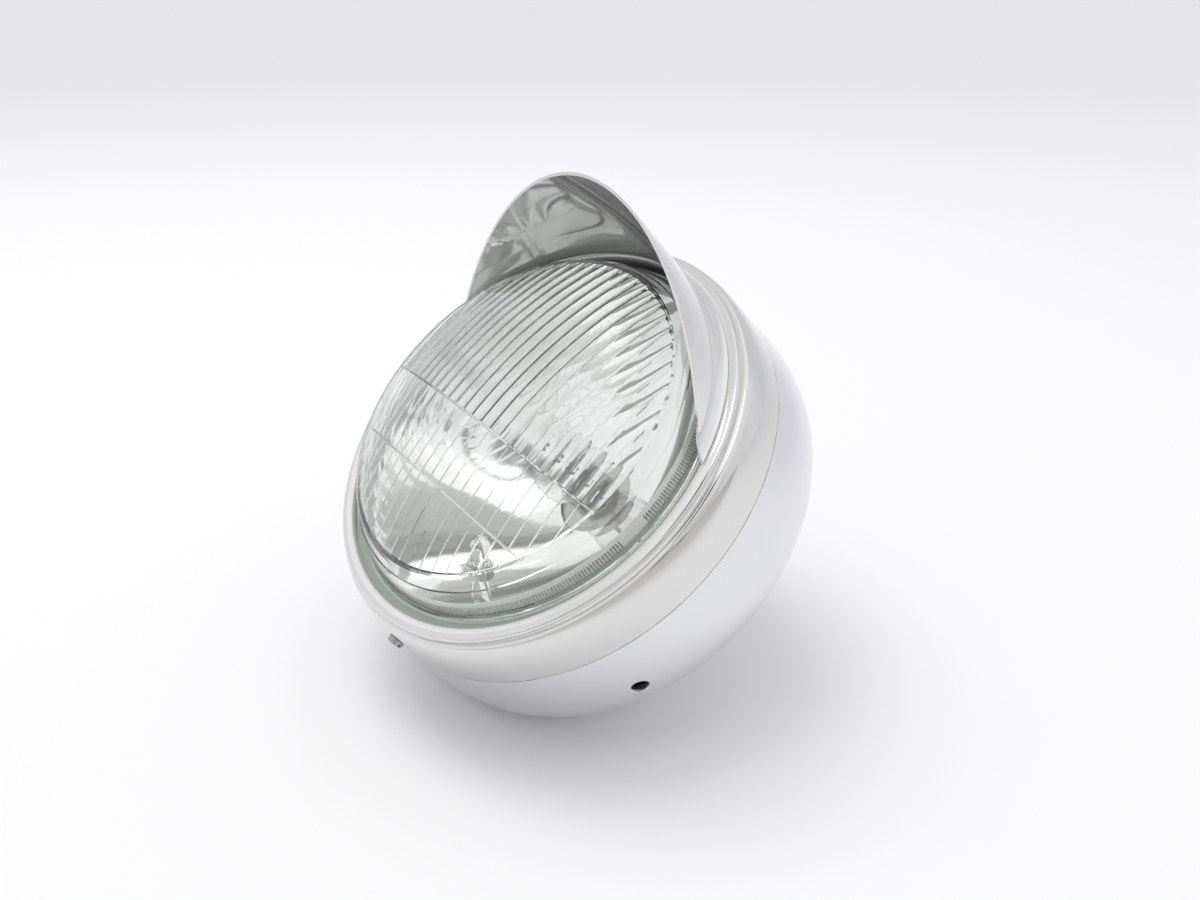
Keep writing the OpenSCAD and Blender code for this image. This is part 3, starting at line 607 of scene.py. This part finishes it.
def patch(nt, aim, bearing_deg, height_deg, radius_deg, soft_deg):
    """1 within a radius of a direction, with a soft edge."""
    b, h = math.radians(bearing_deg), math.radians(height_deg)
    level = right_hand * math.sin(b) + away * math.cos(b)
    centre = level * math.cos(h) + up * math.sin(h)
    off = reckon(nt, "ARCCOSINE", reckon(nt, "MINIMUM", along(nt, aim, centre), 1.0))
    return soft_step(nt, off, math.radians(radius_deg + soft_deg),
                     math.radians(radius_deg - soft_deg))


# bearing is 0 straight ahead and positive to the right, height is 0 at the sheet, in radians.
# The right side is a little grey from bearing 1.2 on, and more so from 1.95 on.
bearing = reckon(nt, "ARCTAN2", along(nt, aim, right_hand), along(nt, aim, away))
height = reckon(nt, "ARCSINE", along(nt, aim, up))
right_side = plus(nt, times(nt, band(nt, bearing, 1.2, 2.6, 0.3), 0.3),
                  times(nt, band(nt, bearing, 1.95, 2.6, 0.15), 0.45))
right_side = times(nt, right_side, band(nt, height, -0.6, 0.3, 0.1))
low_down = plus(nt, band(nt, height, -0.6, 0.2, 0.1),
                times(nt, band(nt, height, 0.2, 0.75, 0.1), 0.5))
behind = times(nt, band(nt, reckon(nt, "ABSOLUTE", bearing), 2.45, 4.0, 0.15), low_down)
room = blend_colour(nt, reckon(nt, "MAXIMUM", right_side, behind),
                    (0.93, 0.93, 0.96), (0.62, 0.61, 0.6))
room = blend_colour(nt, soft_step(nt, height, 0.65, 1.0), room, (1.08, 1.08, 1.08))
ahead = times(nt, band(nt, bearing, -0.5, 1.1, 0.25), band(nt, height, -0.3, 0.75, 0.2))
room = blend_colour(nt, ahead, room, (0.75, 0.75, 0.775))
dim, grey, bright = (0.12, 0.12, 0.125), (0.88, 0.88, 0.89), (2.1, 2.1, 2.1)
# each place: its colour, then its bearing, height, radius and softness in degrees
for colour, *spot in ((dim, -167, 60, 13, 2.5), (dim, 165, 62, 10, 2.5), (dim, 165, 14, 6, 2.5),
                      (dim, 142, 1, 4, 2.5), (grey, -30, 58, 20, 8), (bright, 168, 78, 13, 4)):
    room = blend_colour(nt, patch(nt, aim, *spot), room, colour)
seen = nt.nodes.new("ShaderNodeLightPath").outputs["Is Camera Ray"]
wire(nt, blend_colour(nt, seen, room, (0.95, 0.95, 0.96)), backdrop.inputs["Color"])

# The window: one wide soft light, above the lamp and a little to its left. The lamp's chrome
# mirrors the room and not the window, which only lights the sheet and the dull pieces.
pane = bpy.data.lights.new("window", "AREA")
pane.shape = "RECTANGLE"
pane.size, pane.size_y = 1.1, 1.0
pane.energy = 12.5
window = bpy.data.objects.new("window", pane)
bpy.context.collection.objects.link(window)
window.location = up * 1.9 - right_hand * 0.5 + away * 0.25
window.rotation_mode = "QUATERNION"
window.rotation_quaternion = (-window.location).to_track_quat("-Z", "Y")
window.visible_glossy = window.visible_transmission = False

# The camera: at the photograph's place and lean, worked out from the rings of the glass, the
# bead and the seam, and from the way that the flutes run.
eye = (0.3014, -0.3103, -0.0317)
picture_down = Vector((0.404, 0.520, -0.753))
cam_data = bpy.data.cameras.new("camera")
cam_data.sensor_width = 36
cam_data.lens = 30
cam_data.clip_start, cam_data.clip_end = 0.01, 50
down = (picture_down - look * picture_down.dot(look)).normalized()
right = down.cross(look).normalized()
camera = bpy.data.objects.new("camera", cam_data)
bpy.context.collection.objects.link(camera)
bpy.context.scene.camera = camera
turned = Matrix((right, -down, -look)).transposed()
camera.matrix_world = Matrix.Translation(eye) @ turned.to_4x4()

bpy.context.scene.view_settings.view_transform = "Standard"
